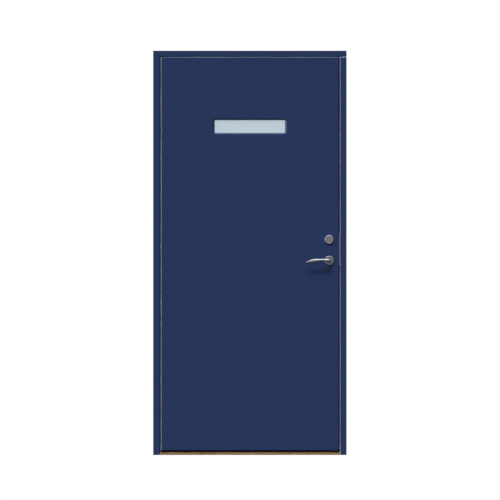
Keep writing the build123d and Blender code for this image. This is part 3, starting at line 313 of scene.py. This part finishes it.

# %% [markdown]
# ## Brushed stainless steel
# The lock's face plate and the strike are stainless strip, brushed along their length before they
# were cut. The streaks run upright, so the noise is stretched along Z. The real scratches are a
# tenth of a millimetre apart, drawn here at one millimetre. Bare stainless is a nearly neutral grey;
# the blue in its base colour is a painted reflection of the blue door round the strips.

# %% Stainless strip with upright streaks
stainless, tree, shader = new_finish(
    # The blue of this base colour is a painted reflection of the blue door, not the steel's own
    # colour.
    "brushed_stainless", Base_Color=paint("#C4CFE4"), Metallic=1.0
)
place = add(tree, "ShaderNodeTexCoord").outputs["Object"]
along_strip = add(tree, "ShaderNodeMapping", Vector=place)
along_strip.inputs["Scale"].default_value = (every(1.0), every(1.0), every(45.0))
streaks = add(
    tree, "ShaderNodeTexNoise", Vector=along_strip.outputs["Vector"], Scale=1.0, Detail=3.0
)
satin = add(tree, "ShaderNodeMapRange", Value=streaks.outputs["Fac"])
satin.inputs["To Min"].default_value = 0.28
satin.inputs["To Max"].default_value = 0.48
tree.links.new(satin.outputs["Result"], shader.inputs["Roughness"])
bump = add(
    tree, "ShaderNodeBump", Height=streaks.outputs["Fac"], Strength=0.25, Distance=0.00003
)
tree.links.new(bump.outputs["Normal"], shader.inputs["Normal"])
dress(stainless, "forend", "strike_plate")

# %% [markdown]
# ## Zinc plate
# Screws, bolts, the spindle and the lock's inner parts are steel with a thin bright coat of zinc.
# It is a cool grey with a faint cloudy bloom, because the zinc crystals differ from place to place.
# The clouds are about six millimetres across and change both the colour and the gloss a little.

# %% Bright zinc on the small steel parts
zinc_plate, tree, shader = new_finish("bright_zinc_plate", Metallic=1.0)
place = add(tree, "ShaderNodeTexCoord").outputs["Object"]
clouds = add(tree, "ShaderNodeTexNoise", Vector=place, Scale=every(6.0), Detail=3.0)
cloud_colour = add(tree, "ShaderNodeValToRGB", Fac=clouds.outputs["Fac"])
cloud_colour.color_ramp.elements[0].color = paint("#A6ACB2")
cloud_colour.color_ramp.elements[1].color = paint("#C9CCCE")
tree.links.new(cloud_colour.outputs["Color"], shader.inputs["Base Color"])
gloss = add(tree, "ShaderNodeMapRange", Value=clouds.outputs["Fac"])
gloss.inputs["To Min"].default_value = 0.25
gloss.inputs["To Max"].default_value = 0.42
tree.links.new(gloss.outputs["Result"], shader.inputs["Roughness"])
dress(
    zinc_plate, "lock_case", "lock_cover", "follower", "deadbolt_crank", "latch_bolt",
    "deadbolt", "spindle", "latch_spring", "hinge_pins", "frame_sleeves", "corner_screws",
    "strike_screws", "hinge_cup_screws", "hinge_arm_screws", "forend_screws",
    "bezel_screws", "rose_bolts",
)

# %% [markdown]
# ## Hinge steel
# The concealed hinges are forged arms in pressed cups, zinc plated and then passivated dark. That
# gives a satin grey with a hint of blue, rougher than the screws, and slightly pitted by forging.

# %% Dark passivated steel of the hinges
hinge_steel, tree, shader = new_finish(
    "dark_passivated_steel", Base_Color=paint("#6E747B"), Metallic=1.0, Roughness=0.45
)
place = add(tree, "ShaderNodeTexCoord").outputs["Object"]
forging = add(tree, "ShaderNodeTexNoise", Vector=place, Scale=every(4.0), Detail=4.0)
bump = add(
    tree, "ShaderNodeBump", Height=forging.outputs["Fac"], Strength=0.35, Distance=0.0001
)
tree.links.new(bump.outputs["Normal"], shader.inputs["Normal"])
dress(
    hinge_steel, *[f"hinge_{part}_{level}" for part in ("cup", "arm")
                   for level in ("lower", "middle", "upper")]
)

# %% [markdown]
# ## Rubber
# The seals in the rebate are EPDM, an extruded black rubber. Black rubber is never quite black and
# never shiny: soot in the mix gives a very dark grey, and the die leaves faint lines along it.
# The glazing gaskets, the blocks under the glass and the sealant round its edge look much the same.

# %% Extruded black rubber
rubber, tree, shader = new_finish(
    "extruded_epdm", Base_Color=paint("#15171A"), Roughness=0.72, IOR=1.52
)
place = add(tree, "ShaderNodeTexCoord").outputs["Object"]
die_lines = add(tree, "ShaderNodeTexNoise", Vector=place, Scale=every(1.5), Detail=2.0)
bump = add(
    tree, "ShaderNodeBump", Height=die_lines.outputs["Fac"], Strength=0.3, Distance=0.00008
)
tree.links.new(bump.outputs["Normal"], shader.inputs["Normal"])
dress(
    rubber, "head_seal", "hinge_side_seal", "lock_side_seal", "threshold_seal",
    "edge_sealant", "outer_glazing_gasket", "inner_glazing_gasket", "setting_blocks",
)

# %% [markdown]
# ## Inside the leaf
# Three finishes are hidden while the door is whole: mill-finish aluminium in the glass unit's
# spacer, bare planed pine round the light, and the pale rigid foam that fills the leaf. They show
# if someone takes the part apart, so each still gets the pattern it has: rolling lines, growth
# bands and a fine closed-cell sponge.

# %% Spacer aluminium, bare pine and foam
mill_aluminium, tree, shader = new_finish(
    "mill_aluminium", Base_Color=paint("#C3C5C7"), Metallic=1.0
)
place = add(tree, "ShaderNodeTexCoord").outputs["Object"]
rolling = add(tree, "ShaderNodeTexNoise", Vector=place, Scale=every(2.0), Detail=2.0)
gloss = add(tree, "ShaderNodeMapRange", Value=rolling.outputs["Fac"])
gloss.inputs["To Min"].default_value = 0.3
gloss.inputs["To Max"].default_value = 0.42
tree.links.new(gloss.outputs["Result"], shader.inputs["Roughness"])
dress(mill_aluminium, "pane_spacer")

bare_pine, tree, shader = new_finish("planed_pine", Roughness=0.6, IOR=1.5)
place = add(tree, "ShaderNodeTexCoord").outputs["Object"]
along_liner = add(tree, "ShaderNodeMapping", Vector=place)
along_liner.inputs["Scale"].default_value = (every(150.0), every(5.0), every(5.0))
growth = add(
    tree, "ShaderNodeTexNoise", Vector=along_liner.outputs["Vector"], Scale=1.0, Detail=3.0
)
growth_colour = add(tree, "ShaderNodeValToRGB", Fac=growth.outputs["Fac"])
growth_colour.color_ramp.elements[0].position = 0.35
growth_colour.color_ramp.elements[0].color = paint("#B98F5C")
growth_colour.color_ramp.elements[1].position = 0.65
growth_colour.color_ramp.elements[1].color = paint("#DCC08F")
tree.links.new(growth_colour.outputs["Color"], shader.inputs["Base Color"])
dress(bare_pine, "window_liner")

foam, tree, shader = new_finish("rigid_foam", Base_Color=paint("#D9CFA6"), Roughness=0.9, IOR=1.4)
place = add(tree, "ShaderNodeTexCoord").outputs["Object"]
cells = add(tree, "ShaderNodeTexVoronoi", Vector=place, Scale=every(1.2))
bump = add(
    tree, "ShaderNodeBump", Height=cells.outputs["Distance"], Strength=0.6, Distance=0.0003
)
tree.links.new(bump.outputs["Normal"], shader.inputs["Normal"])
dress(foam, "insulation_core")

# %% [markdown]
# ## Screw heads
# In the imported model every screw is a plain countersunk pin, which is all that a joint needs. What
# a person sees is the head, and what makes a head a head is its cross recess. One screw is made
# for each size: a cone and a shank, with a tapered cross cut into the top. The cut is a Boolean,
# because a recess is exactly that on the real screw, pressed in by a punch.

# %% Find where each screw sits and which way it points
def screw_seats(name):
    """For every screw in a node: the middle of its head's top, its direction and its sizes."""
    mesh = bmesh.new()
    mesh.from_mesh(nodes[name].data)
    bmesh.ops.remove_doubles(mesh, verts=mesh.verts, dist=1e-6)
    seats = []
    left = set(mesh.verts)
    while left:
        island, front = set(), [left.pop()]
        while front:
            vert = front.pop()
            island.add(vert)
            linked = {edge.other_vert(vert) for edge in vert.link_edges} & left
            left -= linked
            front.extend(linked)
        points = [vert.co for vert in island]
        low = Vector([min(p[i] for p in points) for i in range(3)])
        high = Vector([max(p[i] for p in points) for i in range(3)])
        middle, size = (low + high) / 2, high - low
        axis = max(range(3), key=lambda i: size[i])
        across = (axis + 1) % 3

        def spread(end):
            return max(abs(p[across] - middle[across]) for p in points if abs(p[axis] - end) < 1e-5)

        top, foot = sorted((low[axis], high[axis]), key=spread, reverse=True)
        head = middle.copy()
        head[axis] = top
        along = Vector([0.0, 0.0, 0.0])
        along[axis] = 1.0 if foot > top else -1.0
        seats.append((head, along, spread(top), spread(foot), abs(foot - top)))
    mesh.free()
    return seats


seat_of = {
    name: screw_seats(name)
    for name in ("strike_screws", "forend_screws", "hinge_cup_screws",
                 "hinge_arm_screws", "bezel_screws", "rose_bolts", "corner_screws")
}
print("screws:", {name: len(seats) for name, seats in seat_of.items()})

# %% [markdown]
# A screw is turned, so its body is a stack of rings: a fine rim, the cone of the head and the shank.
# The punch is a stack of crosses that narrow with depth, as the tip of a driver does. Both are
# closed at their ends, because a Boolean needs solids.

# %% Make one screw with a cross recess
ring_points = 32


def disc(mesh, radius, depth):
    """A ring of points round the screw's axis."""
    turns = [2 * math.pi * i / ring_points for i in range(ring_points)]
    return [mesh.verts.new((radius * math.cos(t), radius * math.sin(t), depth)) for t in turns]


def closed(mesh, rings):
    """Skins a stack of rings and closes both ends."""
    for one, other in zip(rings, rings[1:]):
        for i in range(len(one)):
            j = (i + 1) % len(one)
            mesh.faces.new((one[i], one[j], other[j], other[i]))
    mesh.faces.new(list(reversed(rings[0])))
    mesh.faces.new(rings[-1])
    bmesh.ops.recalc_face_normals(mesh, faces=mesh.faces)


def cross_screw(name, head_r, shank_r, length):
    """A countersunk screw that points up, its head's top at the origin."""
    cone_end = (head_r - shank_r) * 1.05
    rim = head_r * 0.03
    body = bmesh.new()
    stack = (
        (head_r - rim, 0.0), (head_r, rim), (head_r, 2 * rim), (shank_r, cone_end), (shank_r, length)
    )
    closed(body, [disc(body, radius, depth) for radius, depth in stack])
    screw_mesh = bpy.data.meshes.new(name)
    body.to_mesh(screw_mesh)
    body.free()
    punch = bmesh.new()
    arm, half = head_r * 0.55, head_r * 0.11
    cross = [(half, half), (half, arm), (-half, arm), (-half, half), (-arm, half), (-arm, -half),
             (-half, -half), (-half, -arm), (half, -arm), (half, -half), (arm, -half), (arm, half)]
    above, deep, narrowed = -0.2 * head_r, 0.6 * head_r, 0.45
    levels = ((1.0, above), (1.0, 0.0), (narrowed, deep))
    closed(punch, [[punch.verts.new((x * k, y * k, z)) for x, y in cross] for k, z in levels])
    punch_mesh = bpy.data.meshes.new(name + "_punch")
    punch.to_mesh(punch_mesh)
    punch.free()
    screw = bpy.data.objects.new(name, screw_mesh)
    tool = bpy.data.objects.new(name + "_punch", punch_mesh)
    for made in (screw, tool):
        bpy.context.scene.collection.objects.link(made)
    recess = screw.modifiers.new("recess", "BOOLEAN")
    recess.object = tool
    recess.solver = "EXACT"
    shape = bpy.data.meshes.new_from_object(
        screw.evaluated_get(bpy.context.evaluated_depsgraph_get())
    )
    for made in (screw, tool):
        bpy.data.objects.remove(made)
    return shape


# %% [markdown]
# Every screw of a node has one size, so one recessed screw is copied to each seat and all of them
# become one piece. It takes the node's place, stays on the node's body and moves with it.

# %% Put the recessed screws in their seats
def fit_screws(name, body):
    """Replaces a node's plain screws by recessed ones in the same seats."""
    _, _, head_r, shank_r, length = seat_of[name][0]
    shape = cross_screw(name + "_shape", head_r, shank_r, length)
    together = bmesh.new()
    for head, along, *_ in seat_of[name]:
        turned = along.to_track_quat("Z", "Y").to_matrix().to_4x4()
        copy = shape.copy()
        copy.transform(Matrix.Translation(head) @ turned)
        together.from_mesh(copy)
        bpy.data.meshes.remove(copy)
    mesh = bpy.data.meshes.new(name + "_recessed")
    together.to_mesh(mesh)
    together.free()
    mesh.materials.append(zinc_plate)
    piece = bpy.data.objects.new(name + "_recessed", mesh)
    bpy.context.scene.collection.objects.link(piece)
    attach(piece, body)
    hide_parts(name)
    print(name, len(seat_of[name]), "screws,", len(mesh.polygons), "faces")


for name, body in (("strike_screws", "frame"), ("hinge_cup_screws", "frame"),
                   ("corner_screws", "frame"), ("hinge_arm_screws", "leaf"),
                   ("forend_screws", "leaf"), ("bezel_screws", "leaf"), ("rose_bolts", "leaf")):
    fit_screws(name, body)

# %% [markdown]
# ## The latch spring
# In the imported model the spring is one rigid coil that rides on the leaf. The real one is squeezed
# between the back of the lock case and the latch's tail when the handle draws the latch in. Here a
# copy of the coil takes the imported one's place and stays as rigid as it: it does not shorten.
# The lock case hides it.

# %% A copy of the latch spring
coil = bpy.data.objects.new("squeezed_latch_spring", nodes["latch_spring"].data.copy())
bpy.context.scene.collection.objects.link(coil)
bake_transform(coil)
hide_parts("latch_spring")

# %% [markdown]
# ## Floor and light
# The photo's light can be read off the door. The faces are one flat colour, so most light comes
# from everywhere at once. A faint shadow lies 57 mm under the lever and a little to its right, so
# one lamp stands high in front and slightly left. Edges that face left or up are bright lines and
# edges that face right or down are dark, so there is a white panel at the left and one overhead.
# The undersides are dark, so nothing comes back from below: the pale floor takes the door's shadow,
# but it is left out of bounces and reflections.

# %% A pale floor
floor_mesh = bpy.data.meshes.new("studio_floor")
reach = 9.0
corners = [(-reach, -reach, 0.0), (reach, -reach, 0.0), (reach, reach, 0.0), (-reach, reach, 0.0)]
floor_mesh.from_pydata(corners, [], [(0, 1, 2, 3)])
floor = bpy.data.objects.new("studio_floor", floor_mesh)
bpy.context.scene.collection.objects.link(floor)
matt_floor, tree, shader = new_finish(
    "matt_pale_floor", Base_Color=paint("#CCCCCA"), Roughness=0.9, IOR=1.45
)
place = add(tree, "ShaderNodeTexCoord").outputs["Object"]
dust = add(tree, "ShaderNodeTexNoise", Vector=place, Scale=every(8.0), Detail=2.0)
bump = add(tree, "ShaderNodeBump", Height=dust.outputs["Fac"], Strength=0.1, Distance=0.0002)
tree.links.new(bump.outputs["Normal"], shader.inputs["Normal"])
floor_mesh.materials.append(matt_floor)
floor.visible_diffuse = False
floor.visible_glossy = False
floor.visible_transmission = False
floor.visible_shadow = False
print("floor:", 2 * reach, "m square, at the height of the door's foot")

# %% [markdown]
# The high lamp is a sun, because a sun casts the same soft shadow wherever the door stands. Its
# spread of 13 degrees gives the lever's shadow its blurred rim. It is left out of reflections, for
# the lever would show it as a spot that the photo does not have.
#
# The edge lamps do the opposite. A rounded edge of two or three millimetres is half a pixel, so a
# panel in the sky is too weak to draw it. A photographer would bring a strip light close to the edge.
# Two suns stand in for such strips: light linking keeps them on three pieces that show a bright edge,
# they are seen only as reflections, and they cast no shadow. They shine straight from the left and
# straight down, so that they only graze the flat faces, which would turn pale if they mirrored one.

# %% One high lamp, and two that draw the edges
def sun(name, towards, strength, spread):
    """A sun that shines along a direction. Its spread in degrees softens what it draws."""
    lamp = bpy.data.lights.new(name, "SUN")
    lamp.energy = strength
    lamp.angle = math.radians(spread)
    holder = bpy.data.objects.new(name, lamp)
    holder.rotation_euler = Vector(towards).to_track_quat("-Z", "Y").to_euler()
    bpy.context.scene.collection.objects.link(holder)
    return holder


high_lamp = sun("high_lamp", towards=(0.22, 1.0, -1.14), strength=1.7, spread=13.0)
high_lamp.visible_glossy = False
edged = bpy.data.collections.new("pieces_with_bright_edges")
for name in ("outer_skin", "lock_jamb", "outer_bezel"):
    edged.objects.link(nodes[name])
for name, towards, strength in (
    ("side_edge_lamp", (1.0, 0.0, 0.0), 7.6), ("top_edge_lamp", (0.0, 0.0, -1.0), 4.8)
):
    edge_lamp = sun(name, towards, strength, spread=20.0)
    edge_lamp.data.color = paint("#DCE8FF")[:3]
    edge_lamp.data.use_shadow = False
    edge_lamp.visible_diffuse = False
    edge_lamp.light_linking.receiver_collection = edged

# %% [markdown]
# The sky is built from the direction that a ray takes. It is nearly dark below the horizon, grey
# above it and bright higher up, and as bright behind the door, where it shines through the glass.
# Each panel is a round patch that fades out at its rim. The camera alone sees the sky white, as the
# photo's background is. The Standard view transform shows each colour as it is on the chart.

# %% A grey sky with two bright panels
world = bpy.data.worlds.new("studio_sky")
bpy.context.scene.world = world
world.use_nodes = True
tree = world.node_tree
tree.nodes.clear()
direction = add(tree, "ShaderNodeTexCoord").outputs["Generated"]
part = add(tree, "ShaderNodeSeparateXYZ", Vector=direction)


def patch(axis, begins, full, strength, before=0.0):
    """Light that grows to a strength as one coordinate of the direction grows."""
    fade = add(
        tree, "ShaderNodeMapRange", interpolation_type="SMOOTHSTEP", Value=part.outputs[axis]
    )
    fade.inputs["From Min"].default_value = begins
    fade.inputs["From Max"].default_value = full
    fade.inputs["To Min"].default_value = before
    fade.inputs["To Max"].default_value = strength
    return fade.outputs["Result"]


def sky(hex_code, patches):
    """A background in one colour, as strong as its patches together."""
    total = patches[0]
    for one in patches[1:]:
        both = add(tree, "ShaderNodeMath", operation="ADD")
        tree.links.new(total, both.inputs[0])
        tree.links.new(one, both.inputs[1])
        total = both.outputs["Value"]
    glow = add(tree, "ShaderNodeBackground", Color=paint(hex_code), Strength=total)
    return glow.outputs["Background"]


in_front = patch("Z", -0.15, 0.15, 0.27, before=0.05)
overhead = patch("Z", 0.25, 0.75, 0.95)
behind = patch("Y", 0.30, 0.80, 1.12)
left_panel = patch("X", -0.78, -0.94, 2.6)
top_panel = patch("Z", 0.82, 0.94, 2.2)
room = sky("#FFFFFF", [in_front, overhead, behind])
panels = sky("#DFEAFF", [left_panel, top_panel])
lit = add(tree, "ShaderNodeAddShader")
tree.links.new(room, lit.inputs[0])
tree.links.new(panels, lit.inputs[1])
white = sky("#FFFFFF", [1.0])
seen = add(tree, "ShaderNodeLightPath").outputs["Is Camera Ray"]
either = add(tree, "ShaderNodeMixShader", Fac=seen)
tree.links.new(lit.outputs["Shader"], either.inputs[1])
tree.links.new(white, either.inputs[2])
add(tree, "ShaderNodeOutputWorld", Surface=either.outputs["Shader"])
bpy.context.scene.view_settings.view_transform = "Standard"
print("sky:", len(tree.nodes), "nodes")

# %% [markdown]
# ## Camera
# The picture is a straight front view with no perspective at all: the frame's sides are parallel
# and neither reveal shows. An orthographic camera gives that. Its scale is the width of what it
# sees: the frame is 995 mm wide and fills 193.4 of the picture's 500 pixels. It stands 1.05 m above
# the floor, where the middle of the picture is.

# %% A straight front view
picture_pixels = 500
mm_per_pixel = 5.145
middle_x, middle_z = 0.0008, 1.0546
distance = 4.0
camera_data = bpy.data.cameras.new("front_view")
camera_data.type = "ORTHO"
camera_data.ortho_scale = picture_pixels * mm_per_pixel / 1000
camera = bpy.data.objects.new("front_view", camera_data)
camera.location = (middle_x, -distance, middle_z)
camera.rotation_euler = (math.pi / 2, 0.0, 0.0)
bpy.context.scene.collection.objects.link(camera)
bpy.context.scene.camera = camera
print("camera sees", camera_data.ortho_scale, "m")
